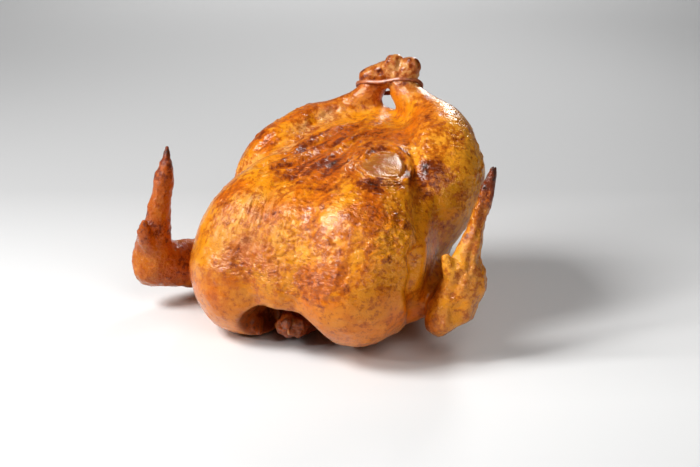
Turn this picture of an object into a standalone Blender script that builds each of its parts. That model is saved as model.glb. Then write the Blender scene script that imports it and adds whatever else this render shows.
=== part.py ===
"""A whole roast chicken lying on its back, its drumstick ends held together by a trussing loop.

The neck end looks to -Y, the tail to +Y and the breast up. Metres, +Z up. The flesh is
overlapping muscles, each of a named size, fused into one skin; the loop is an elastic band.
"""
import math

import bmesh
import bpy
from mathutils import Matrix, Vector, geometry
from mathutils.bvhtree import BVHTree

MM = 0.001

# Places are millimetres from the middle of the back, where the bird rests.
# How far the bird leans: millimetres of height for each millimetre to +X.
LEAN = 0.09

# The carcass and tail: centre, half sizes, tilt in degrees about X.
CARCASS = ((0, 12, 41), (57, 80, 45), 4)
RUMP = ((0, 56, 60), (40, 34, 34), 20)
TAIL = ((0, 92, 27), (18, 23, 11), 24)

# A breast lobe's stations on the +X side, neck end to keel: centre, then radius.
LOBE = (
    ((35, -45, 41), 40),
    ((32, -27, 57), 43),
    ((25, 10, 69), 41),
    ((15, 46, 85), 31),
    ((6.5, 72, 99.5), 16.5),
)
LOBE_SHIFT = 2
# The breastbone's ridge between the lobes.
KEEL = (
    ((0, -53, 47), 30),
    ((0, -28, 66), 33),
    ((0, 8, 77), 30),
    ((0, 44, 91), 25),
    ((-1, 75, 104.5), 14),
)

# The legs' stations, hip to knuckle: centre, then radius.
THIGH = (
    ((28, 56, 36), 24),
    ((36, 36, 43), 27),
    ((46, 12, 52), 26),
)
RIGHT_DRUMSTICK = (
    ((50, 8, 57), 27),
    ((57, 28, 80.5), 30),
    ((48.5, 52, 104), 22),
    ((31, 67, 117), 13),
    ((13, 75, 128.5), 9.8),
    ((11, 77, 140), 9.5),
)
LEFT_DRUMSTICK = (
    ((50, 8, 58), 27),
    ((53, 29, 84), 29),
    ((43, 52, 102.5), 21),
    ((27, 66, 114), 12),
    ((13, 75, 126), 9.5),
    ((9.5, 78, 137), 9.5),
)
# Each knuckle's two round condyles.
RIGHT_CONDYLES = (((5.6, 75, 146.5), 6.5), ((16.8, 76, 146), 6.5))
LEFT_CONDYLES = (((4, 79, 142), 6.5), ((14, 75, 138), 7))

# The upper arm of a wing on the +X side, shoulder to elbow: centre, breadth, depth.
UPPER_ARM = (
    ((48, -50, 34), 20, 18),
    ((64, -18, 27), 18, 16),
    ((78, 8, 24), 15, 13),
)
# The forearm's breadths and depths, elbow to wrist.
FOREARM = ((15, 16.5, 15), (13, 11, 11.5))
# Each wing's outer joints, wrist to tip: centre, breadth, depth.
RIGHT_HAND = (
    ((91.5, -33, 25.5), 13, 11.5),
    ((98.5, -28, 40), 14.5, 10.5),
    ((100.5, -25, 56), 11.5, 8.5),
    ((102.5, -18, 74), 7.5, 6.5),
    ((104.8, -13, 91), 5.6, 5),
    ((106.8, -10, 104), 3.2, 2.9),
    ((108.3, -8, 114), 1.2, 1.1),
)
RIGHT_THUMB = (((96, -29, 46), 7, 6), ((93.5, -33, 57), 4.5, 4), ((91.8, -34, 64), 1.6, 1.5))
RIGHT_BROAD = Vector((0.89, 0.45, 0.1))
LEFT_HAND = (
    ((-110, -42, 28), 13, 12),
    ((-109, -42, 42), 12.5, 10.5),
    ((-106, -40, 58), 8.5, 7.5),
    ((-104.5, -37, 72), 7, 6.2),
    ((-103, -33.5, 86), 6.2, 5.4),
    ((-103, -31.5, 96), 3.6, 3.2),
    ((-103, -30, 104), 1.2, 1.1),
)
LEFT_THUMB = (((-108.5, -48, 42), 6.5, 5.5), ((-107, -54, 54), 4.5, 4), ((-105, -56, 61), 1.6, 1.5))
LEFT_BROAD = Vector((0.75, 0.66, 0.0))

# The neck opening under the breast, and the neck's stump inside it.
NECK_OPENING = ((4, -72, 14), (29, 36, 18.5))
NECK_STUMP = ((1, -50, 14), (13, 20, 10))
# The vent between the tail and the keel's tip.
VENT = ((0, 98, 60), (22, 30, 17))
# The floor plane trims the flesh a little, so that the bird rests on flat faces.
FLOOR_BLOCK = 400

# The trussing loop: a point inside it, its band's radius, and its plane's tilt about X and Y.
LOOP_MIDDLE = (0, 76, 131)
LOOP_RADIUS = 1.15
LOOP_TILT = -35
LOOP_LEAN = 9
# No flesh further than this from the loop's middle is inside it.
LOOP_REACH = 36
LOOP_POINTS = 56
# The room between the band and the groove that it presses into the flesh.
CLEARANCE = 0.35

# The size of the finest lump that the fused flesh keeps, and how many triangles its skin has.
VOXEL = 2.0
TRIANGLES = 8200
MUSCLE_ROUNDS = 14
BONY_ROUNDS = 3
SKIN_ROUNDS = 2


def clear_scene():
    for obj in list(bpy.data.objects):
        bpy.data.objects.remove(obj)


def point(place):
    """A place in millimetres as a point in metres."""
    return Vector(place) * MM


def placed(place, side):
    """A place on the +X side, taken to the side asked for and leaned with the bird."""
    x, y, z = place
    return point((x * side, y, z + LEAN * x * side))


def material(name, colour, roughness):
    made = bpy.data.materials.new(name)
    made.use_nodes = True
    shader = made.node_tree.nodes["Principled BSDF"]
    shader.inputs["Base Color"].default_value = (*colour, 1.0)
    shader.inputs["Roughness"].default_value = roughness
    return made


def add_ball(flesh, centre, half_sizes, tilt=0.0):
    """An ellipsoid; tilt is degrees about X."""
    turn = Matrix.Rotation(math.radians(tilt), 4, "X")
    sizes = Matrix.Diagonal((*point(half_sizes), 1.0))
    place = Matrix.Translation(centre) @ turn @ sizes
    bmesh.ops.create_uvsphere(flesh, u_segments=40, v_segments=24, radius=1.0, matrix=place)


def smooth_between(values, t):
    """Catmull-Rom through the values, t running from 0 to their count less one."""
    i = min(int(t), len(values) - 2)
    a, b, c, d = (values[max(0, min(len(values) - 1, i + k))] for k in (-1, 0, 1, 2))
    u = t - i
    return 0.5 * (2 * b + (c - a) * u + (2 * a - 5 * b + 4 * c - d) * u * u
                  + (3 * b - a - 3 * c + d) * u ** 3)


def add_limb(flesh, places, breadths, depths, broad=Vector((0, 0, 1)), steps=8, around=28):
    """A tapering limb through the places, oval where breadth and depth differ.

    Breadth is measured along broad; both ends are rounded over.
    """
    rings = []
    for k in range((len(places) - 1) * steps + 1):
        t = k / steps
        ahead = smooth_between(places, min(t + 0.05, len(places) - 1))
        behind = smooth_between(places, max(t - 0.05, 0.0))
        along = (ahead - behind).normalized()
        wide = (broad - along * broad.dot(along)).normalized()
        thick = along.cross(wide)
        rings.append((smooth_between(places, t), along, wide * smooth_between(breadths, t) * MM,
                      thick * smooth_between(depths, t) * MM))
    hoops = []
    tips = []
    for ring, way in ((rings[0], -1), (rings[-1], 1)):
        centre, along, wide, thick = ring
        reach = along * way * (wide.length + thick.length) / 2
        cap = [(centre + reach * math.sin(a), along, wide * math.cos(a), thick * math.cos(a))
               for a in (math.radians(degrees) for degrees in (25, 50, 72))]
        hoops = cap[::-1] + rings if way < 0 else hoops + cap
        tips.append(centre + reach)
    loops = []
    for centre, _, wide, thick in hoops:
        angles = (2 * math.pi * j / around for j in range(around))
        loops.append([flesh.verts.new(centre + wide * math.cos(a) + thick * math.sin(a))
                      for a in angles])
    for low, high in zip(loops, loops[1:]):
        for j in range(around):
            n = (j + 1) % around
            flesh.faces.new((low[j], low[n], high[n], high[j]))
    for loop, tip in ((loops[0], tips[0]), (loops[-1], tips[1])):
        top = flesh.verts.new(tip)
        for j in range(around):
            flesh.faces.new((loop[j], loop[(j + 1) % around], top))


def add_round_limb(flesh, stations, side, broad=Vector((0, 0, 1))):
    """A limb of round section through stations of the +X side."""
    radii = [radius for _, radius in stations]
    add_limb(flesh, [placed(at, side) for at, _ in stations], radii, radii, broad)


def object_of(flesh, name):
    bmesh.ops.recalc_face_normals(flesh, faces=flesh.faces)
    mesh = bpy.data.meshes.new(name)
    flesh.to_mesh(mesh)
    flesh.free()
    made = bpy.data.objects.new(name, mesh)
    bpy.context.scene.collection.objects.link(made)
    return made


def fuse(obj, voxel, rounds):
    """Overlapping pieces become one skin, its joins softened by rounds of smoothing."""
    remesh = obj.modifiers.new("Fuse", "REMESH")
    remesh.mode = "VOXEL"
    remesh.voxel_size = voxel * MM
    soften = obj.modifiers.new("Soften", "SMOOTH")
    soften.factor = 0.5
    soften.iterations = rounds


def cut(obj, cutter, name):
    """Takes the cutter's shape out of the object."""
    cutter.hide_render = True
    cutter.display_type = "WIRE"
    boolean = obj.modifiers.new(name, "BOOLEAN")
    boolean.operation = "DIFFERENCE"
    boolean.object = cutter


def settle(obj):
    """Makes what the modifiers show the object's own mesh."""
    graph = bpy.context.evaluated_depsgraph_get()
    mesh = bpy.data.meshes.new_from_object(obj.evaluated_get(graph))
    obj.modifiers.clear()
    obj.data = mesh


def absorb(obj, other):
    """Adds the other object's mesh to this one's, and removes the other object."""
    joined = bmesh.new()
    joined.from_mesh(obj.data)
    joined.from_mesh(other.data)
    joined.to_mesh(obj.data)
    joined.free()
    bpy.data.objects.remove(other)


def build_torso():
    flesh = bmesh.new()
    for centre, half_sizes, tilt in (CARCASS, RUMP, TAIL):
        add_ball(flesh, point(centre), half_sizes, tilt)
    for side in (1, -1):
        radii = [radius for _, radius in LOBE]
        places = [placed(at, side) + point((LOBE_SHIFT, 0, 0)) for at, _ in LOBE]
        add_limb(flesh, places, radii, radii, Vector((side, 0, 0.5)))
    add_round_limb(flesh, KEEL, 1)
    return object_of(flesh, "torso")


def build_legs():
    flesh = bmesh.new()
    for side, drumstick in ((1, RIGHT_DRUMSTICK), (-1, LEFT_DRUMSTICK)):
        for stations in (THIGH, drumstick):
            add_round_limb(flesh, stations, side, Vector((side, 0, 0.4)))
    return object_of(flesh, "legs")


def build_bone_ends():
    """The knuckles' condyles, and the neck's stump in its opening."""
    flesh = bmesh.new()
    centre, half_sizes = NECK_STUMP
    add_ball(flesh, point(centre), half_sizes)
    for side, condyles in ((1, RIGHT_CONDYLES), (-1, LEFT_CONDYLES)):
        for centre, radius in condyles:
            add_ball(flesh, placed(centre, side), (radius, radius, radius * 0.85))
    return object_of(flesh, "bone_ends")


def build_wings():
    flesh = bmesh.new()
    wings = (
        (1, RIGHT_HAND, RIGHT_THUMB, RIGHT_BROAD),
        (-1, LEFT_HAND, LEFT_THUMB, LEFT_BROAD),
    )
    for side, hand, thumb, broad in wings:
        arm = [placed(at, side) for at, _, _ in UPPER_ARM]
        add_limb(flesh, arm, [b for _, b, _ in UPPER_ARM], [d for _, _, d in UPPER_ARM])
        wrist = point(hand[0][0])
        breadths, depths = FOREARM
        add_limb(flesh, [arm[-1], (arm[-1] + wrist) / 2, wrist], breadths, depths)
        for stations in (hand, thumb):
            add_limb(flesh, [point(at) for at, _, _ in stations], [b for _, b, _ in stations],
                     [d for _, _, d in stations], broad)
    return object_of(flesh, "wings")


def build_hollow(name, centre, half_sizes):
    flesh = bmesh.new()
    add_ball(flesh, point(centre), half_sizes)
    return object_of(flesh, name)


def build_floor_block():
    flesh = bmesh.new()
    below = Matrix.Translation(point((0, 0, -FLOOR_BLOCK / 2)))
    bmesh.ops.create_cube(flesh, size=FLOOR_BLOCK * MM, matrix=below)
    return object_of(flesh, "floor_block")


def loop_route(chicken):
    """A tight run round both shanks: the hull of the flesh where the loop's plane cuts it."""
    turn = (Matrix.Rotation(math.radians(-LOOP_LEAN), 3, "Y")
            @ Matrix.Rotation(math.radians(LOOP_TILT), 3, "X"))
    graph = bpy.context.evaluated_depsgraph_get()
    flesh = BVHTree.FromObject(chicken, graph)
    middle = point(LOOP_MIDDLE)
    found = []
    for k in range(360):
        a = math.radians(k)
        out = turn @ Vector((math.cos(a), math.sin(a), 0))
        hit = flesh.ray_cast(middle + out * LOOP_REACH * MM, -out, LOOP_REACH * MM)[0]
        if hit:
            found.append((turn.transposed() @ (hit - middle)).to_2d())
    hull = [found[i] for i in geometry.convex_hull_2d(found)]
    run = [(b - a).length for a, b in zip(hull, hull[1:] + hull[:1])]
    route = []
    for k in range(LOOP_POINTS):
        along = sum(run) * k / LOOP_POINTS
        i = 0
        while along > run[i]:
            along -= run[i]
            i += 1
        a, b = hull[i], hull[(i + 1) % len(hull)]
        on_flesh = a.lerp(b, along / run[i])
        out = on_flesh.normalized() * (LOOP_RADIUS - CLEARANCE) * MM
        route.append(middle + turn @ (on_flesh + out).to_3d())
    return route


def build_loop(name, route, radius):
    """The band along its closed route."""
    curve = bpy.data.curves.new(name, "CURVE")
    curve.dimensions = "3D"
    curve.bevel_depth = radius * MM
    curve.bevel_resolution = 2
    spline = curve.splines.new("POLY")
    spline.points.add(len(route) - 1)
    for p, at in zip(spline.points, route):
        p.co = (*at, 1.0)
    spline.use_cyclic_u = True
    made = bpy.data.objects.new(name, curve)
    bpy.context.scene.collection.objects.link(made)
    return made


def as_mesh(obj, name):
    """The object's surface as a mesh object in its place, for a Boolean."""
    bpy.context.view_layer.update()
    graph = bpy.context.evaluated_depsgraph_get()
    mesh = bpy.data.meshes.new_from_object(obj.evaluated_get(graph))
    bpy.data.objects.remove(obj)
    made = bpy.data.objects.new(name, mesh)
    bpy.context.scene.collection.objects.link(made)
    return made


def stand_at_origin(objects):
    """Moves the objects so that the origin is the middle of their box's floor side."""
    bpy.context.view_layer.update()
    graph = bpy.context.evaluated_depsgraph_get()
    corners = [Vector(c) for c in objects[0].evaluated_get(graph).bound_box]
    for axis in (0, 1):
        low = min(c[axis] for c in corners)
        high = max(c[axis] for c in corners)
        for obj in objects:
            obj.location[axis] = -(low + high) / 2


def build_chicken():
    chicken = build_torso()
    absorb(chicken, build_legs())
    fuse(chicken, VOXEL, MUSCLE_ROUNDS)
    settle(chicken)
    cut(chicken, build_hollow("neck_hollow", *NECK_OPENING), "Neck opening")
    cut(chicken, build_hollow("vent_hollow", *VENT), "Vent")
    settle(chicken)
    wings = build_wings()
    absorb(wings, build_bone_ends())
    fuse(wings, VOXEL * 0.7, BONY_ROUNDS)
    settle(wings)
    absorb(chicken, wings)
    fuse(chicken, VOXEL, SKIN_ROUNDS)
    settle(chicken)
    thin = chicken.modifiers.new("Thin", "DECIMATE")
    thin.ratio = TRIANGLES / (2 * len(chicken.data.polygons))
    settle(chicken)
    cut(chicken, build_floor_block(), "Rest")
    chicken.name = "roast_chicken"
    chicken.data.materials.append(material("roast_skin", (0.55, 0.22, 0.05), 0.4))
    return chicken


def main():
    clear_scene()
    chicken = build_chicken()
    route = loop_route(chicken)
    groove = as_mesh(build_loop("groove_curve", route, LOOP_RADIUS + CLEARANCE), "groove")
    cut(chicken, groove, "Groove")
    settle(chicken)
    bpy.data.objects.remove(groove)
    loop = build_loop("trussing_loop", route, LOOP_RADIUS)
    loop.data.materials.append(material("elastic_band", (0.35, 0.10, 0.03), 0.5))
    stand_at_origin([chicken, loop])


main()
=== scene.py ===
import math

import bmesh
import bpy
import numpy as np
from mathutils import Matrix, Vector
from mathutils.bvhtree import BVHTree


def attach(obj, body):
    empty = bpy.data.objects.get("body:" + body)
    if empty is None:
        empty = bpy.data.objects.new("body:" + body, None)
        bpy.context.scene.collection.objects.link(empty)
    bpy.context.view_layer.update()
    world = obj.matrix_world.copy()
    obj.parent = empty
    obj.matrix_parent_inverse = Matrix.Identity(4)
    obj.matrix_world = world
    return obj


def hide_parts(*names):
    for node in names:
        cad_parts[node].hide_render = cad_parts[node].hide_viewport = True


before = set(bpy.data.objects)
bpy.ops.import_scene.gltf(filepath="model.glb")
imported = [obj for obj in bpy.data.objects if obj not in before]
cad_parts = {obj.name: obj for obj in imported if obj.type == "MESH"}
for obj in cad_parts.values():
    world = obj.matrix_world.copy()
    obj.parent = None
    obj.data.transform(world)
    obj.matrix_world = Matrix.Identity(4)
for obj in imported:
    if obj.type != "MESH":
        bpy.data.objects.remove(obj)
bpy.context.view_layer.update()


# ------------------------------------------------------------------ the bird's form
# A whole chicken lying on its back: breast, legs and wings under one skin, so it is one closed
# form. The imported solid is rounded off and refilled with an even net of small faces, which the
# later sections press, fold and blister the way the oven did. Lengths are in millimetres.

MM = 0.001
WELD_WITHIN = 0.01
NET = 0.95
SETTLE_ROUNDS = 12
SETTLE_SHARE = 0.5


def link(name, data):
    piece = bpy.data.objects.new(name, data)
    bpy.context.scene.collection.objects.link(piece)
    return piece


def bake_modifiers(piece):
    """Gives the piece the mesh that its modifiers make, and drops the modifiers."""
    graph = bpy.context.evaluated_depsgraph_get()
    finished = bpy.data.meshes.new_from_object(piece.evaluated_get(graph))
    piece.modifiers.clear()
    piece.data = finished


def weld(mesh, within):
    form = bmesh.new()
    form.from_mesh(mesh)
    bmesh.ops.remove_doubles(form, verts=form.verts, dist=within)
    form.to_mesh(mesh)
    form.free()


def even_net(piece, size, rounds):
    """Refills a closed form with an even net of faces, then settles its facets."""
    net = piece.modifiers.new("net", "REMESH")
    net.mode = "VOXEL"
    net.voxel_size = size * MM
    settle = piece.modifiers.new("settle", "SMOOTH")
    settle.factor = SETTLE_SHARE
    settle.iterations = rounds
    bake_modifiers(piece)


bird = link("roast_bird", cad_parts["roast_chicken"].data.copy())
weld(bird.data, WELD_WITHIN * MM)
rounding = bird.modifiers.new("rounding", "SUBSURF")
rounding.levels = 1
rounding.render_levels = 1
bake_modifiers(bird)
even_net(bird, NET, SETTLE_ROUNDS)


# ------------------------------------------------------------------ small bones under the skin
# The alula on each wing is a short pointed thumb, the wrist has a hooked outer corner, and the
# shanks end in round condyles. Settling wears them away, so they are fused on again as rows of
# shrinking balls, and the net is refilled over them.

SMALL_BONES = (
    # stations from root to tip: place, then radius
    # the right wing's alula, then its wrist's outer corner
    (((101, -43, 44), 7.0), ((98.6, -47, 56), 4.6), ((96.6, -48.5, 64.5), 2.2)),
    (((107, -41, 37), 7.0), ((112, -39, 46), 4.6), ((113.6, -38, 55), 2.2)),
    # the left wing's alula
    (((-103.4, -61, 40), 7.0), ((-102, -67.5, 53), 4.8), ((-100, -69.5, 61.5), 2.0)),
    # the right shank's two condyles
    (((9.6, 60.9, 141), 6.0), ((10.6, 60.9, 147), 6.3)),
    (((21.0, 61.9, 141), 6.0), ((22.0, 61.9, 146.6), 6.2)),
    # the right wing's tip
    (((109.8, -27, 92), 4.6), ((111.6, -24, 103), 3.0), ((113.2, -22, 113), 1.4)),
    # tatters of meat and skin at the neck
    (((-18, -72, 11), 5.0), ((-13, -79, 8), 2.4)),
    (((8, -76, 20), 4.6), ((11, -84, 14), 2.2)),
    # the left wing's tip
    (((-98, -47.5, 86), 5.0), ((-98, -45.6, 95), 3.2), ((-98, -44, 104), 1.4)),
)
BALLS_PER_STEP = 9
BALL_DETAIL = 3
JOIN_ROUNDS = 3


def station_at(stations, share):
    """The place and radius part of the way along a row of stations."""
    reach = share * (len(stations) - 1)
    first = min(int(reach), len(stations) - 2)
    rest = reach - first
    (start, wide), (end, narrow) = stations[first], stations[first + 1]
    return Vector(start).lerp(Vector(end), rest), wide + (narrow - wide) * rest


form = bmesh.new()
form.from_mesh(bird.data)
for stations in SMALL_BONES:
    count = BALLS_PER_STEP * (len(stations) - 1)
    for step in range(count + 1):
        centre, radius = station_at(stations, step / count)
        place = Matrix.Translation(centre * MM)
        bmesh.ops.create_icosphere(form, subdivisions=BALL_DETAIL, radius=radius * MM, matrix=place)
form.to_mesh(bird.data)
form.free()
even_net(bird, NET, JOIN_ROUNDS)


# ------------------------------------------------------------------ folds and creases
# Where the skin hangs over a joint or was pulled tight by the tie it lies in folds: a groove on
# each side where the leg meets the breast, a fan of long pleats from the hip to the keel's tip,
# and tucks at the wing's joints. Each is a line on the skin, with its depth and width.

LEFT_LEG_FOLD = ((-66, -16, 84), (-50, -18, 96), (-30, -16, 104), (-31, 8, 109), (-30, 28, 112),
                 (-20, 44, 115))
GROOVES = (
    # route, depth, width: where the right leg and then the wing meet the breast
    (((46, 22, 112), (54, 0, 107), (62, -18, 100), (71, -32, 90), (77, -47, 78), (80, -58, 64)),
     2.4, 5.0),
    (((80, -58, 64), (80, -62, 47), (76, -52, 26)), 3.6, 5.5),
    (LEFT_LEG_FOLD, 1.9, 5.0),
    # between the knuckles, then between the right one's condyles
    (((5.8, 57.8, 150), (5.5, 57, 143), (4.9, 57, 137)), 2.4, 1.6),
    (((15.8, 60, 153), (15.8, 54.5, 146), (15.6, 54, 138)), 1.1, 1.8),
    # along the right wing's finger and under its thumb, then along the left wing's finger
    (((109, -47, 58), (110.4, -37.7, 76.3), (112.1, -31.4, 92.8), (112.5, -26, 104)), 1.0, 1.6),
    (((102, -53, 44), (106, -50, 56)), 1.3, 2.2),
    (((-101, -58, 58), (-99.5, -52, 76), (-100, -48.5, 92)), 1.3, 1.7),
)
PLEATS = (
    (((-54, -6, 98), (-41, 12, 109.7), (-30, 36, 117)), 1.1, 2.6),
    (((-45, -10, 101), (-35, 14, 111), (-24, 40, 117)), 1.2, 2.2),
    (((-33, -37, 99), (-18, -16, 105), (-7, 18, 111), (0, 40, 114)), 1.5, 2.6),
    (((-26, -44, 98), (-8, -24, 104), (2, 4, 110), (6, 28, 113)), 1.2, 2.2),
    (((-14, -52, 95), (2, -34, 102), (10, -12, 107), (12, 12, 112)), 1.0, 2.2),
)
# Skin pushed out of a groove rises as a low shoulder beside it, and no line runs quite true.
SHOULDER_SHARE = 0.35
SHOULDER_OUT = 1.9
WANDER = 1.5
# The flap of skin over the hip, an oval window that stretched smooth while its edge rucked up
# into a lip, with a gutter inside the lip and broken rings of small folds round the rest.
FLAP_CENTRE = np.array((45, -23, 105.5))
FLAP_ALONG = np.array((-0.40, 0.88, 0.25))
FLAP_ACROSS = np.array((0.92, 0.36, -0.16))
FLAP_LENGTH = 19
FLAP_WIDTH = 16
FLAP_LIP = ((29, -22, 108.5), (28.5, -14, 110), (31, -7, 111), (36, -3, 111.5), (43, -2, 110.5),
            (49, -4.5, 108), (54, -9, 105.5), (58, -15, 102.5), (60, -22, 100), (60, -29, 98.5))
LIP_HEIGHT = 2.0
LIP_WIDTH = 1.7
GUTTER_DEPTH = 0.9
GUTTER_IN = 3.4
GUTTER_WIDTH = 1.6
RING_PACE = 40
ARC_HEIGHT = 1.15
GRISTLE_HOLE = (1.5, 56.5, 141.5)
DRIFT_GAIN = 1.6
HOLLOWS = (
    # centre, radius, edge, depth: the finger joints stand free of the wrist's corners
    ((117, -35, 64), (8, 12, 10), 0.9, 4.5),
    ((107, -54, 36), (9, 10, 16), 0.9, 3.0),
    ((-104, -68, 34), (10, 8, 14), 0.9, 2.0),
    # the palms
    ((104, -48, 15), (18, 20, 14), 0.9, 7.5),
    ((117, -42, 32), (10, 16, 15), 0.9, 3.5),
    ((114, -29, 76), (7, 14, 26), 0.9, 2.6),
    # the left knuckle's gristle
    (GRISTLE_HOLE, (3.4, 4.5, 3.6), 0.8, 2.6),
)


def read_points(piece):
    flat = np.empty(len(piece.data.vertices) * 3)
    piece.data.vertices.foreach_get("co", flat)
    return flat.reshape(-1, 3) / MM


def read_normals(piece):
    flat = np.empty(len(piece.data.vertices) * 3)
    piece.data.vertices.foreach_get("normal", flat)
    return flat.reshape(-1, 3)


def write_points(piece, points):
    piece.data.vertices.foreach_set("co", (points * MM).ravel())
    piece.data.update()


def press(piece, amount):
    """Moves each point along its own normal."""
    write_points(piece, read_points(piece) + read_normals(piece) * amount[:, None])


def smooth_step(value, low, high):
    share = np.clip((value - low) / (high - low), 0, 1)
    return share * share * (3 - 2 * share)


def ridge(distance, width):
    """A rounded ridge, 1 at no distance and fading over its width."""
    return np.exp(-(distance / width) ** 2)


def patch(points, centre, radius, edge=0.5):
    """1 inside a round patch, falling to 0 at its radius. radius may be one number or three."""
    reach = np.linalg.norm((points - np.array(centre)) / np.array(radius), axis=1)
    return 1 - smooth_step(reach, 1 - edge, 1)


def line_distance(points, route):
    """Distance from each point to a route of straight runs."""
    nearest = np.full(len(points), 1e9)
    for start, end in zip(route[:-1], route[1:]):
        start = np.array(start, float)
        run = np.array(end, float) - start
        share = np.clip((points - start) @ run / (run @ run), 0, 1)
        gap = np.linalg.norm(points - start - share[:, None] * run, axis=1)
        nearest = np.minimum(nearest, gap)
    return nearest


def scatter(cells, seed):
    """Three repeatable numbers from -1 to 1 for each cell. The long odd numbers only mix its bits."""
    mixed = cells[:, 0] * 73856093 ^ cells[:, 1] * 19349663 ^ cells[:, 2] * 83492791
    mixed = (mixed ^ seed * 7919) & 0xFFFFFFFF
    mixed = ((mixed ^ (mixed >> 15)) * 2246822519) & 0xFFFFFFFF
    mixed = ((mixed ^ (mixed >> 13)) * 3266489917) & 0xFFFFFFFF
    mixed ^= mixed >> 16
    return np.stack([mixed & 1023, mixed >> 10 & 1023, mixed >> 20 & 1023], axis=1) / 511.5 - 1


def drift(points, size, seed):
    """Smooth uneven field, about -1 to 1, whose swells are about size across."""
    spots = points / size
    cell = np.floor(spots).astype(np.int64)
    inside = spots - cell
    ease = inside ** 3 * (inside * (inside * 6 - 15) + 10)
    total = np.zeros(len(points))
    for corner in np.ndindex(2, 2, 2):
        corner = np.array(corner)
        share = np.where(corner == 1, ease, 1 - ease).prod(axis=1)
        total += share * ((inside - corner) * scatter(cell + corner, seed)).sum(axis=1)
    return total * DRIFT_GAIN


def layered_drift(points, size, seed, layers):
    """Drift with finer and weaker drift laid over it."""
    total = np.zeros(len(points))
    for layer in range(layers):
        total += drift(points, size / 2 ** layer, seed + 11 * layer) / 2 ** layer
    return total


def shaken(points, size, seed, amount, layers=1, seed_step=1):
    """The points moved about by drift, so that a patch or line drawn on them is uneven."""
    fields = [layered_drift(points, size, seed + seed_step * k, layers) for k in range(3)]
    return points + np.stack(fields, axis=1) * amount


def flap_reach(points):
    """How far out of the oval flap a point is: 1 on its edge."""
    offset = points - FLAP_CENTRE
    along, across = offset @ FLAP_ALONG / FLAP_LENGTH, offset @ FLAP_ACROSS / FLAP_WIDTH
    return np.hypot(along, across) + 0.03 * np.abs(offset[:, 2])


points = read_points(bird)
swell = layered_drift(points, size=34, seed=3, layers=2) * 1.1 + drift(points, size=15, seed=5) * 0.5
wandering = points + drift(points, size=18, seed=7)[:, None] * WANDER
for route, depth, width in GROOVES + PLEATS:
    gap = line_distance(wandering, route)
    swell -= depth * ridge(gap, width)
    swell += SHOULDER_SHARE * depth * ridge(gap - SHOULDER_OUT * width, width)
# flap is 1 on the oval's edge and more outside it, and lip is the distance from the lip's crest.
unsettled = shaken(points, size=9, seed=14, amount=1.6)
flap = flap_reach(unsettled)
lip = line_distance(unsettled, FLAP_LIP)
near_flap = 1 - smooth_step(flap, 1.25, 1.9)
swell += LIP_HEIGHT * ridge(lip, LIP_WIDTH)
swell -= GUTTER_DEPTH * ridge(lip - GUTTER_IN, GUTTER_WIDTH) * (1 - smooth_step(flap, 0.8, 1.15))
folded = np.sin(flap * RING_PACE + 4.0 * drift(points, size=9, seed=9)) * smooth_step(flap, 0.62, 0.95)
folded *= np.clip(0.6 + 1.2 * drift(points, size=9, seed=13), 0, 1.2)
arcs = folded * near_flap * smooth_step(lip, 4, 10)
swell += ARC_HEIGHT * arcs
for centre, radius, edge, depth in HOLLOWS:
    swell -= depth * patch(points, centre, radius, edge)
press(bird, swell)


# ------------------------------------------------------------------ blisters and crinkles
# Fat boiling under the skin lifts it in blisters, mostly low on the front of the breast, and
# between them it shrinks into fine crinkles. On the big smooth lobe the crinkles run down the
# curve as narrow pleats, and on the wings the pores stand up as pimples.

VENT_CENTRE = (5, 84, 60)
VENT_RADIUS = (24, 32, 19)
KNUCKLE_BASE = 131


def rest_on_floor(piece):
    """Flattens what the relief pushed below the floor."""
    points = read_points(piece)
    points[:, 2] = np.maximum(points[:, 2], 0)
    write_points(piece, points)


points = read_points(bird)
rough_front = patch(points, (10, -86, 60), (62, 42, 32), edge=0.7)
rough_side = patch(points, (58, -66, 76), (30, 34, 36), edge=0.8)
front = np.maximum(rough_front, 0.75 * rough_side)
lobe = patch(points, (-20, -78, 78), (36, 30, 26))
crown = patch(points, (15, -25, 100), (62, 62, 30))
tail_side = smooth_step(points[:, 1], -20, 40) * (1 - smooth_step(points[:, 2], 116, 124))
right_wing = smooth_step(points[:, 0], 84, 96) * (1 - smooth_step(points[:, 1], 0, 12))
left_wing = 1 - smooth_step(points[:, 0], -92, -78)
wings = np.maximum(right_wing, left_wing)
loose = np.clip(0.55 + 0.9 * drift(points, size=17, seed=33), 0, 1)

# Each pattern is drift, squeezed along one way or another, and runs from about -1 to 1.
warped = shaken(points, size=8, seed=20, amount=2.4)
crinkle = 1 - 2.4 * np.abs(drift(warped * (0.55, 0.8, 1.1), size=3.8, seed=31))
fine_crinkle = 1 - 2.4 * np.abs(drift(warped * (0.7, 0.8, 1.0), size=2.6, seed=37))
pleat = drift(points * (1, 0.35, 0.3), size=2.7, seed=41)
blister = np.clip(drift(points * (0.8, 0.9, 1.1), size=5.2, seed=47) * 2.2 - 0.4, 0, 1)
pimple = 0.35 * drift(points, size=3.4, seed=53) + 0.5 * drift(points * (1, 1, 0.3), size=4.6, seed=59)

# Each number is how high the pattern stands in that part of the skin.
relief = (0.06 + 0.85 * front * loose + 0.2 * tail_side * loose) * crinkle
relief += (0.12 + 0.46 * front + 0.2 * crown + 0.14 * tail_side) * fine_crinkle
relief += lobe * (1 - 0.6 * front) * 0.5 * pleat
relief += (0.35 + 1.1 * front * (0.3 + 0.7 * loose) + 0.4 * tail_side) * blister
relief *= 0.3 + 0.7 * smooth_step(flap, 0.7, 1.2)
relief += wings * pimple
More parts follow.
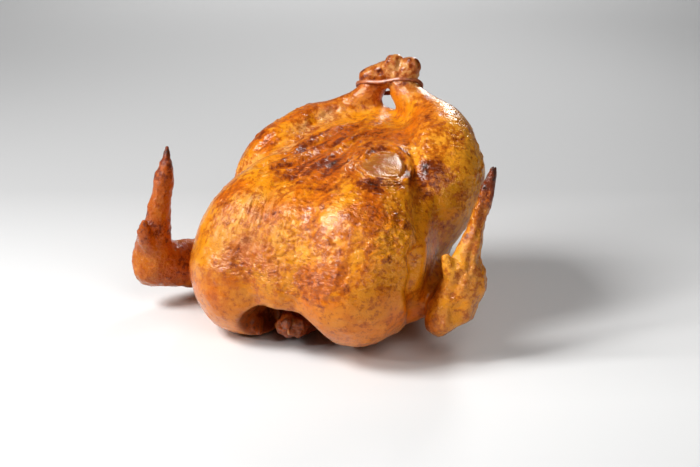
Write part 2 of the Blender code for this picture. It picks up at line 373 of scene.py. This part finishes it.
# Torn meat in the neck, ragged skin round both openings, and bare gristle on the knuckles.
neck_meat = patch(points, (6, -62, 13), (22, 34, 17), edge=0.3)
torn = 3.4 * drift(points, size=8, seed=61) + 1.6 * drift(points, size=3.6, seed=63) - 1.4
relief += neck_meat * torn
vent_reach = np.linalg.norm((points - VENT_CENTRE) / VENT_RADIUS, axis=1)
vent_rim = ridge(vent_reach - 1.0, 0.16)
relief += vent_rim * (2.2 * drift(points, size=9, seed=65) + 1.0 * drift(points, size=4, seed=67) + 0.5)
relief += smooth_step(1 - vent_reach, 0, 0.2) * 1.4 * drift(points, size=7, seed=69)
gristle = smooth_step(points[:, 2], KNUCKLE_BASE, KNUCKLE_BASE + 7)
relief += gristle * (0.5 * drift(points, size=4.5, seed=70) + 0.25 * drift(points, size=2.4, seed=72))
press(bird, relief)
rest_on_floor(bird)


# ------------------------------------------------------------------ browning
# How far each spot has roasted: honey gold where fat kept it moist, redder on the crown and near black
# where it met the heat, pale in the creases and underneath, and burnt at the wing tips. Some of the
# colour is painted light: painted shade low on the breast's left front and partly on the left wing, a
# painted sheen on the big lobe, and painted highlight and shade on the flap's rings.

MOST_TRIANGLES = 196000
HONEY = (0.75, 0.285, 0.009)
AMBER = (0.62, 0.142, 0.002)
STRAW = (0.86, 0.39, 0.04)
OLIVE_GOLD = (0.59, 0.25, 0.004)
TAN = (0.58, 0.22, 0.04)
FLAP_TAN = (0.34, 0.115, 0.012)
RUSSET = (0.40, 0.082, 0.002)
CHESTNUT = (0.15, 0.019, 0.002)
CHAR = (0.045, 0.012, 0.006)
CARTILAGE = (0.60, 0.31, 0.11)
PALE_FOLD_AND_SHEEN = (0.72, 0.42, 0.20)
DARK_MEAT = (0.17, 0.045, 0.02)
KEEL_LINE = np.array((0.35, 0.90, 0.26))
WEB_BASE = 52
RIGHT_TIP = 88
LEFT_TIP = 84
TIP_LENGTH = 24
BROWNED = (
    # centre, radius, browning
    ((44, -50, 102), (15, 10, 10), 1.0),
    ((58, -36, 99), (12, 9, 10), 0.75),
    ((69, -14, 99), (14, 20, 15), 1.05),
    ((66, -8, 108), (10, 14, 8), 0.6),
    ((18, -52, 96), (17, 7, 8), 0.65),
    ((-4, -48, 98), (13, 7, 6), 0.5),
    ((14, -30, 103), (13, 12, 6), 0.35),
    ((15, 22, 112), (7, 28, 7), 0.5),
    ((24, -6, 109), (7, 16, 6), 0.35),
    ((62, -58, 88), (20, 12, 14), 0.3),
    ((78, 8, 100), (12, 18, 16), 0.45),
    ((-58, 10, 98), (14, 26, 14), 0.45),
    ((-70, -8, 70), (14, 20, 22), 0.3),
    ((-40, -72, 84), (8, 8, 12), 0.3),
    ((30, -90, 55), (40, 20, 16), 0.16),
)


def blend(under, over, share):
    return under + (np.array(over) - under) * np.clip(share, 0, 1)[:, None]


# Where the parts of the skin are. broad, medium, mottle and streak are uneven fields.
points = read_points(bird)
normals = read_normals(bird)
x, y, z = points.T
broad = layered_drift(points, size=30, seed=71, layers=3)
medium = layered_drift(points, size=12, seed=79, layers=3)
mottle = layered_drift(points, size=5, seed=83, layers=2)
along = points @ KEEL_LINE
streak = layered_drift(points - 0.8 * along[:, None] * KEEL_LINE, size=7, seed=87, layers=2)
ragged = shaken(points, size=12, seed=90, amount=6, layers=2, seed_step=3)
underneath = 1 - smooth_step(z, 6, 34)
facing_down = smooth_step(-normals[:, 2], 0.1, 0.8)
low_skin = (1 - smooth_step(z, 20, 62)) * (1 - wings)
golden = patch(points, (30, -78, 78), (44, 40, 26), edge=0.7)
painted_shade_low_left = patch(points, (-22, -86, 48), (62, 44, 42), edge=0.8)
top = patch(points, (0, -10, 106), (52, 60, 26), edge=0.6)
flank = smooth_step(x, 62, 78) * smooth_step(y, -55, -25)
flank *= 1 - smooth_step(z, 96, 112)
# The finger's palm side, short of a line that leans outward as it rises.
web = wings * (z > WEB_BASE) * smooth_step(-(x - 107 - (z - 60) * 0.1), 1, 5)
lip_edge = line_distance(points, FLAP_LIP)
leg_fold = line_distance(points, LEFT_LEG_FOLD)
drumstick = smooth_step(x, 40, 56) * smooth_step(y, -20, 5) * smooth_step(z, 84, 100)
knuckles = smooth_step(z, 129, 138)
shank = smooth_step(z, 112, 126) * (1 - smooth_step(x, 0, 12))
inside_neck = patch(points, (9, -86, 13), (34, 42, 21), edge=0.18)
inside_vent = smooth_step(1 - vent_reach, -0.05, 0.1)

# The tone under the browning, laid on in coats.
tone = np.tile(np.array(HONEY), (len(points), 1))
tone = blend(tone, AMBER, smooth_step(broad, -0.35, 0.35) * 0.8)
tone = blend(tone, STRAW, smooth_step(medium, 0.1, 0.6) * 0.6)
tone = blend(tone, STRAW, underneath * 0.2 + facing_down * 0.4)
tone = blend(tone, STRAW, golden * 0.6 * smooth_step(-medium, -0.4, 0.3))
# Painted shade: the low front of the breast, on its left, is darkened.
tone *= 1 - 0.22 * painted_shade_low_left[:, None]
tone = blend(tone, AMBER, top * 0.6)
tone = blend(tone, HONEY, top * smooth_step(-streak, 0.1, 0.5) * 0.8)
tone = blend(tone, OLIVE_GOLD, flank * smooth_step(medium, -0.6, 0.3) * 0.9)
tone = blend(tone, FLAP_TAN, (1 - smooth_step(flap, 0.8, 1.1)) * (0.8 + 0.5 * medium))
tone = blend(tone, TAN, wings * 0.7 * smooth_step(medium, -0.5, 0.3))
# The left wing deeper russet: partly its darker roasting, partly painted shade.
tone = blend(tone, RUSSET, left_wing * 0.75)
tone = blend(tone, STRAW, web * (x > 0) * 0.7)
tone = blend(tone, PALE_FOLD_AND_SHEEN, 0.75 * ridge(leg_fold, 6.5) * smooth_step(medium, -0.4, 0.3))
# Painted highlight: the crests of the flap's rings are paler.
tone = blend(tone, PALE_FOLD_AND_SHEEN, np.clip(arcs, 0, 1) * 0.8)
# The big lobe paler along its pleats: partly pale blistered skin, partly a painted sheen.
tone = blend(tone, PALE_FOLD_AND_SHEEN, lobe * (1 - 0.5 * front) * (0.15 + 0.55 * np.clip(1.6 * pleat, 0, 1)))
tone = blend(tone, AMBER, low_skin * 0.6)
tone = blend(tone, STRAW, drumstick * 0.45)
tone = blend(tone, CARTILAGE, knuckles * 0.9)
tone = blend(tone, TAN, shank * 0.6)
tone = blend(tone, DARK_MEAT, inside_neck)
tone = blend(tone, CARTILAGE, inside_neck * neck_meat * 0.5 * smooth_step(mottle, 0.1, 0.5))
tone = blend(tone, DARK_MEAT, inside_vent)

# browning runs from 0, golden, through 1, dark brown, to 1.6, burnt.
browning = 0.14 + 0.32 * broad + 0.22 * medium - 0.30 * low_skin
# Painted shade: the troughs between the flap's rings are browner.
browning += 0.6 * np.clip(-arcs, 0, 1)
browning += top * (0.10 + 0.85 * smooth_step(streak, -0.05, 0.4))
for centre, radius, amount in BROWNED:
    browning += amount * patch(ragged, centre, radius, 0.7)
scorched = 0.35 * np.clip(-relief, 0, 1) + 0.4 * blister * smooth_step(medium, -0.2, 0.4)
browning += front * (0.12 + scorched)
browning += 0.3 * ridge(leg_fold, 4) * smooth_step(mottle, 0.0, 0.4)
browning += wings * (0.16 + 0.3 * broad + 0.2 * medium)
browning += wings * smooth_step(z - np.where(x > 0, RIGHT_TIP, LEFT_TIP), 0, TIP_LENGTH) * 1.3
browning -= 0.1 * (1 - smooth_step(flap, 0.8, 1.0))
browning += 0.8 * ridge(lip_edge - 2.8, 1.1) * (flap < 1.3)
browning += knuckles * (0.55 * smooth_step(mottle, 0.05, 0.5) + 0.35 * smooth_step(z, 146, 153))
browning += shank * 0.2
browning += 1.6 * patch(points, GRISTLE_HOLE, (3.2, 5, 3.4), edge=0.5)
browning -= 0.25 * facing_down
browning *= 1 - inside_neck
browning += inside_neck * (0.3 + 0.9 * smooth_step(y, -84, -62))
browning += inside_vent * 0.5 + vent_rim * 0.3

# How strongly the material's own folds, pleats and pimples show.
folds = 0.3 + 0.9 * front * (0.4 + 0.6 * loose) + 0.4 * top - 0.2 * low_skin
wrinkling = np.stack([folds * (0.5 + 0.5 * smooth_step(flap, 0.5, 1.1)), lobe, wings], axis=1)

bird.data.shade_smooth()
painted = bird.data.attributes.new("roasting", "FLOAT_COLOR", "POINT")
painted.data.foreach_set("color", np.c_[tone, np.ones(len(tone))].ravel())
browned = bird.data.attributes.new("browning", "FLOAT", "POINT")
browned.data.foreach_set("value", np.clip(browning, 0, 1.8))
wrinkled = bird.data.attributes.new("wrinkling", "FLOAT_VECTOR", "POINT")
wrinkled.data.foreach_set("vector", wrinkling.ravel())
thinning = bird.modifiers.new("thinning", "DECIMATE")
triangles = sum(len(face.vertices) - 2 for face in bird.data.polygons)
thinning.ratio = min(1, MOST_TRIANGLES / triangles)
bake_modifiers(bird)
rest_on_floor(bird)
bird.data.shade_smooth()


def new_material(name):
    """A material, with the nodes and links of its tree."""
    material = bpy.data.materials.new(name)
    material.use_nodes = True
    return material, material.node_tree.nodes, material.node_tree.links


def set_inputs(node, values):
    for name, value in values.items():
        node.inputs[name].default_value = value


def skin_material():
    """Glossy roasted skin: painted tones, browning with ragged edges, fine wrinkles and pores."""
    material, nodes, links = new_material("basted_skin")
    skin = nodes["Principled BSDF"]
    set_inputs(skin, {
        "Roughness": 0.34,
        "IOR": 1.45,
        "Specular IOR Level": 0.15,
        "Subsurface Weight": 0.08,
        "Subsurface Radius": (1.0, 0.35, 0.12),
        "Subsurface Scale": 0.004,
        "Coat Weight": 1.0,
        "Coat Roughness": 0.10,
        "Coat IOR": 1.42,
    })

    def attribute(name, output):
        reader = nodes.new("ShaderNodeAttribute")
        reader.attribute_name = name
        return reader.outputs[output]

    def noise_of(vector, scale, detail, roughness=0.5):
        noise = nodes.new("ShaderNodeTexNoise")
        set_inputs(noise, {"Scale": scale, "Detail": detail, "Roughness": roughness})
        links.new(vector, noise.inputs["Vector"])
        return noise.outputs["Fac"]

    def math_of(operation, *values):
        result = nodes.new("ShaderNodeMath")
        result.operation = operation
        for socket, value in zip(result.inputs, values):
            if isinstance(value, (int, float)):
                socket.default_value = value
            else:
                links.new(value, socket)
        return result.outputs[0]

    def centred(value, reach):
        """A noise from 0 to 1 as one from about -reach / 2 to reach / 2."""
        return math_of("MULTIPLY", math_of("SUBTRACT", value, 0.5), reach)

    def share_of(value, low, high, most):
        ranged = nodes.new("ShaderNodeMapRange")
        ranged.interpolation_type = "SMOOTHSTEP"
        set_inputs(ranged, {"From Min": low, "From Max": high, "To Max": most})
        links.new(value, ranged.inputs["Value"])
        return ranged.outputs["Result"]

    def mix_of(share, under, over):
        mix = nodes.new("ShaderNodeMix")
        mix.data_type = "RGBA"
        links.new(share, mix.inputs["Factor"])
        links.new(under, mix.inputs["A"])
        mix.inputs["B"].default_value = (*over, 1)
        return mix.outputs["Result"]

    def squeezed(vector, scale):
        mapping = nodes.new("ShaderNodeMapping")
        mapping.inputs["Scale"].default_value = scale
        links.new(vector, mapping.inputs["Vector"])
        return mapping.outputs["Vector"]

    place = nodes.new("ShaderNodeTexCoord").outputs["Object"]
    speckle = centred(noise_of(place, scale=270, detail=5, roughness=0.7), reach=3.6)
    grain = centred(noise_of(place, scale=85, detail=4, roughness=0.6), reach=1.8)
    roasted = math_of("ADD", attribute("browning", "Fac"), math_of("ADD", speckle, grain))
    tone = attribute("roasting", "Color")
    unroasted = math_of("MULTIPLY", roasted, -1)
    tone = mix_of(share_of(unroasted, low=0.2, high=0.8, most=0.3), tone, STRAW)
    tone = mix_of(share_of(roasted, low=-0.05, high=0.50, most=0.75), tone, RUSSET)
    tone = mix_of(share_of(roasted, low=0.55, high=1.05, most=0.85), tone, CHESTNUT)
    tone = mix_of(share_of(roasted, low=1.3, high=1.9, most=0.95), tone, CHAR)
    links.new(tone, skin.inputs["Base Color"])

    amounts = nodes.new("ShaderNodeSeparateXYZ")
    links.new(attribute("wrinkling", "Vector"), amounts.inputs["Vector"])
    creased = noise_of(squeezed(place, (0.55, 0.7, 1.2)), scale=300, detail=3, roughness=0.55)
    creased = math_of("ABSOLUTE", math_of("SUBTRACT", creased, 0.5))
    creased = math_of("MULTIPLY", math_of("MULTIPLY", creased, -3.0), amounts.outputs["X"])
    pleats = noise_of(squeezed(place, (1.0, 0.3, 0.25)), scale=520, detail=3)
    pleats = math_of("MULTIPLY", math_of("MULTIPLY", pleats, amounts.outputs["Y"]), 1.8)
    pimples = math_of("MULTIPLY", noise_of(place, scale=480, detail=3), amounts.outputs["Z"])
    pores = math_of("MULTIPLY", noise_of(place, scale=1000, detail=2), 0.25)
    height = math_of("ADD", math_of("ADD", pleats, creased), math_of("ADD", pimples, pores))
    raised = nodes.new("ShaderNodeBump")
    set_inputs(raised, {"Strength": 1.0, "Distance": 0.0011})
    links.new(height, raised.inputs["Height"])
    links.new(raised.outputs["Normal"], skin.inputs["Normal"])
    links.new(raised.outputs["Normal"], skin.inputs["Coat Normal"])
    return material


bird.data.materials.clear()
bird.data.materials.append(skin_material())
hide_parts("roast_chicken")
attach(bird, "root")


# ------------------------------------------------------------------ the trussing band
# One brown elastic loop, softened by the fat, pulled tight round both shanks just under the
# knuckles. It lies in the groove it has pressed into them and bridges the gap between.

BAND_RUNS = 180
BAND_SIDES = 14
BAND_WIDTH = 2.7
BAND_THICKNESS = 1.5
BAND_SINK = 0.35
BAND_CORNER = 0.7
BAND_EASING = 6
FEELERS = 720
FEELER_REACH = 32
BAND_BROWN = (0.46, 0.14, 0.04)
BAND_DARK = (0.24, 0.06, 0.018)


def tight_ring(flat_points):
    """The convex outline of points in a plane, counter-clockwise, as a stretched band lies."""
    ordered = flat_points[np.lexsort((flat_points[:, 1], flat_points[:, 0]))]
    halves = []
    for row in (ordered, ordered[::-1]):
        half = []
        for spot in row:
            while len(half) > 1:
                a, b = half[-1] - half[-2], spot - half[-2]
                if a[0] * b[1] - a[1] * b[0] > 0:
                    break
                half.pop()
            half.append(spot)
        halves.append(np.array(half[:-1]))
    return np.concatenate(halves)


def tone_ramp(nodes, stops):
    """A colour ramp through stops of position and colour, in order."""
    shade = nodes.new("ShaderNodeValToRGB")
    elements = shade.color_ramp.elements
    elements[0].position = stops[0][0]
    elements[1].position = stops[-1][0]
    for position, _ in stops[1:-1]:
        elements.new(position)
    for element, (_, colour) in zip(elements, stops):
        element.color = (*colour, 1)
    return shade


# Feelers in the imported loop's own plane find where the shanks' skin is.
loop_points = read_points(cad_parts["trussing_loop"])
middle = (loop_points.min(axis=0) + loop_points.max(axis=0)) / 2
_, _, axes = np.linalg.svd(loop_points - loop_points.mean(axis=0), full_matrices=False)
level = axes[2] if axes[2][2] > 0 else -axes[2]
across = axes[0] if axes[0][0] > 0 else -axes[0]
upward = np.cross(level, across)
skin_tree = BVHTree.FromObject(bird, bpy.context.evaluated_depsgraph_get())
touching = []
for step in range(FEELERS):
    angle = 2 * math.pi * step / FEELERS
    outward = across * math.cos(angle) + upward * math.sin(angle)
    start = Vector((middle + outward * FEELER_REACH) * MM)
    spot, _, _, _ = skin_tree.ray_cast(start, Vector(-outward), FEELER_REACH * MM)
    if spot:
        offset = np.array(spot) / MM - middle
        touching.append((offset @ across, offset @ upward))

# The band's route is the tight ring round those spots, cut into even runs and eased.
ring = tight_ring(np.array(touching))
lengths = np.linalg.norm(np.roll(ring, -1, axis=0) - ring, axis=1)
reached = np.concatenate([[0], np.cumsum(lengths)])
closed = np.vstack([ring, ring[:1]])
evenly = np.linspace(0, reached[-1], BAND_RUNS, endpoint=False)
route = np.stack([np.interp(evenly, reached, closed[:, k]) for k in range(2)], axis=1)
for _ in range(BAND_EASING):
    route = (np.roll(route, 1, axis=0) + 2 * route + np.roll(route, -1, axis=0)) / 4
run = np.roll(route, -1, axis=0) - np.roll(route, 1, axis=0)
run /= np.linalg.norm(run, axis=1)[:, None]
out = np.stack([run[:, 1], -run[:, 0]], axis=1)
route += out * (BAND_THICKNESS / 2 - BAND_SINK)
centres = middle + route[:, :1] * across + route[:, 1:] * upward
outs = out[:, :1] * across + out[:, 1:] * upward
turns = np.arange(BAND_RUNS) / BAND_RUNS * 2 * math.pi
wave = 0.25 * np.sin(3 * turns + 0.6) + 0.15 * np.sin(7 * turns) + 0.004 * route[:, 0] ** 2

form = bmesh.new()
rings = []
for centre, outward, turn, lift in zip(centres, outs, turns, wave):
    width = BAND_WIDTH / 2 * (1 + 0.10 * math.sin(5 * turn + 1) + 0.05 * math.sin(23 * turn))
    thick = BAND_THICKNESS / 2 * (1 + 0.08 * math.sin(9 * turn))
    ring_verts = []
    for side in range(BAND_SIDES):
        angle = 2 * math.pi * side / BAND_SIDES
        flat = math.copysign(abs(math.cos(angle)) ** BAND_CORNER, math.cos(angle)) * thick
        tall = math.copysign(abs(math.sin(angle)) ** BAND_CORNER, math.sin(angle)) * width
        ring_verts.append(form.verts.new((centre + outward * flat + level * (tall + lift)) * MM))
    rings.append(ring_verts)
for first, second in zip(rings, rings[1:] + rings[:1]):
    for side in range(BAND_SIDES):
        turn_on = (side + 1) % BAND_SIDES
        form.faces.new((first[side], first[turn_on], second[turn_on], second[side]))
bmesh.ops.recalc_face_normals(form, faces=form.faces)
band_mesh = bpy.data.meshes.new("trussing_band")
form.to_mesh(band_mesh)
form.free()
band_mesh.shade_smooth()
band = link("trussing_band", band_mesh)

elastic, nodes, links = new_material("greasy_elastic")
rubber = nodes["Principled BSDF"]
set_inputs(rubber, {"Roughness": 0.45, "Coat Weight": 0.35, "Coat Roughness": 0.15})
place = nodes.new("ShaderNodeTexCoord")
grime = nodes.new("ShaderNodeTexNoise")
set_inputs(grime, {"Scale": 420, "Detail": 5})
links.new(place.outputs["Object"], grime.inputs["Vector"])
shade = tone_ramp(nodes, ((0.35, BAND_DARK), (0.6, BAND_BROWN)))
links.new(grime.outputs["Fac"], shade.inputs["Fac"])
links.new(shade.outputs["Color"], rubber.inputs["Base Color"])
scuffed = nodes.new("ShaderNodeBump")
set_inputs(scuffed, {"Strength": 0.6, "Distance": 0.0004})
links.new(grime.outputs["Fac"], scuffed.inputs["Height"])
links.new(scuffed.outputs["Normal"], rubber.inputs["Normal"])
band_mesh.materials.append(elastic)
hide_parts("trussing_loop")
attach(band, "root")


# ------------------------------------------------------------------ the floor and backdrop
# A studio sweep of matt paper, square to the camera: a floor that bends up into a wall well
# behind the bird. It is white round the bird, greyer beyond it and greyer in front, out of view,
# where a white floor would mirror in the greasy skin as haze. Lengths are in metres.

VIEW_TURN = 27
FLOOR_FRONT = -2.4
FLOOR_BACK = 1.6
SWEEP_RADIUS = 0.5
SWEEP_WIDTH = 8.0
WALL_TOP = 2.6
BEND_STEPS = 12
TONES_FROM = -0.7
TONES_TO = 1.1
PAPER_TONES = (
    # share of the way from TONES_FROM to TONES_TO, colour
    (0.0, (0.60, 0.60, 0.60)),
    (0.31, (0.80, 0.80, 0.795)),
    (0.52, (0.52, 0.52, 0.52)),
    (1.0, (0.56, 0.56, 0.56)),
)

outline = [(FLOOR_FRONT, 0.0), (FLOOR_BACK, 0.0)]
for step in range(1, BEND_STEPS + 1):
    angle = math.pi / 2 * step / BEND_STEPS
    reach = FLOOR_BACK + SWEEP_RADIUS * math.sin(angle)
    outline.append((reach, SWEEP_RADIUS * (1 - math.cos(angle))))
outline.append((FLOOR_BACK + SWEEP_RADIUS, WALL_TOP))
form = bmesh.new()
rows = []
for reach, height in outline:
    rows.append([form.verts.new((side * SWEEP_WIDTH, reach, height)) for side in (-0.5, 0.5)])
for first, second in zip(rows[:-1], rows[1:]):
    form.faces.new((first[0], first[1], second[1], second[0]))
sweep_mesh = bpy.data.meshes.new("studio_sweep")
form.to_mesh(sweep_mesh)
form.free()
sweep_mesh.shade_smooth()
sweep = link("studio_sweep", sweep_mesh)
sweep.rotation_euler.z = math.radians(VIEW_TURN)

matt, nodes, links = new_material("matt_paper")
paper = nodes["Principled BSDF"]
paper.inputs["Roughness"].default_value = 0.9
place = nodes.new("ShaderNodeTexCoord")
depth = nodes.new("ShaderNodeSeparateXYZ")
links.new(place.outputs["Object"], depth.inputs["Vector"])
reach = nodes.new("ShaderNodeMapRange")
set_inputs(reach, {"From Min": TONES_FROM, "From Max": TONES_TO})
links.new(depth.outputs["Y"], reach.inputs["Value"])
shade = tone_ramp(nodes, PAPER_TONES)
links.new(reach.outputs["Result"], shade.inputs["Fac"])
links.new(shade.outputs["Color"], paper.inputs["Base Color"])
sweep_mesh.materials.append(matt)


# ------------------------------------------------------------------ light
# The main light is a window-like panel high on the left, with a small lower one that puts the
# sharp glints on the breast. One behind the bird lights its far rims, and a large dim one at the
# right softens the shadows. A fifth hangs over the far floor, in a nearly dark room.

PANELS = (
    # name, degrees right of the front, degrees up, distance, size, spread in degrees, watts
    ("window_left", -50, 47, 1.2, 0.44, 150, 9.2),
    ("window_low", -38, 27, 1.3, 0.20, 120, 1.7),
    ("window_behind", -172, 28, 1.4, 0.38, 70, 0.9),
    ("fill_right", 50, 40, 1.5, 0.9, 150, 4.2),
)
PANEL_AIM = (0, 0, 0.07)
BACKDROP_PANEL = ("backdrop_light", 0.8, 100, 3.3)
BACKDROP_PLACE = (0, 1.3, 1.0)
ROOM_COLOUR = (0.95, 0.97, 1.0, 1)
ROOM_STRENGTH = 0.05


def square_light(name, size, spread, power):
    """A square light that shines straight down until it is turned."""
    panel = bpy.data.lights.new(name, "AREA")
    panel.size = size
    panel.energy = power
    panel.spread = math.radians(spread)
    return link(name, panel)


def way_to(turn, height):
    """The direction turn degrees to the right of the front and height degrees up."""
    turn, height = math.radians(turn), math.radians(height)
    level = math.cos(height)
    return Vector((math.sin(turn) * level, -math.cos(turn) * level, math.sin(height)))


for name, turn, height, distance, size, spread, power in PANELS:
    way = way_to(turn, height)
    holder = square_light(name, size, spread, power)
    holder.location = Vector(PANEL_AIM) + way * distance
    holder.rotation_euler = way.to_track_quat("Z", "Y").to_euler()
far_holder = square_light(*BACKDROP_PANEL)
far_holder.location = Matrix.Rotation(math.radians(VIEW_TURN), 3, "Z") @ Vector(BACKDROP_PLACE)

room = bpy.data.worlds.new("pale_room")
room.use_nodes = True
set_inputs(room.node_tree.nodes["Background"], {"Color": ROOM_COLOUR, "Strength": ROOM_STRENGTH})
bpy.context.scene.world = room
bpy.context.scene.view_settings.view_transform = "Standard"
bpy.context.scene.view_settings.look = "Medium High Contrast"


# ------------------------------------------------------------------ camera
# A little above the bird and to its right, at about arm's length.

CAMERA_HEIGHT = 20
CAMERA_DISTANCE = 0.9
CAMERA_AIM = (0.0061, 0.0059, 0.047)
CAMERA_LENS = 72
CAMERA_SENSOR = 36

lens = bpy.data.cameras.new("front_camera")
lens.lens = CAMERA_LENS
lens.sensor_width = CAMERA_SENSOR
camera = link("front_camera", lens)
way = way_to(VIEW_TURN, CAMERA_HEIGHT)
camera.location = Vector(CAMERA_AIM) + way * CAMERA_DISTANCE
camera.rotation_euler = way.to_track_quat("Z", "Y").to_euler()
bpy.context.scene.camera = camera
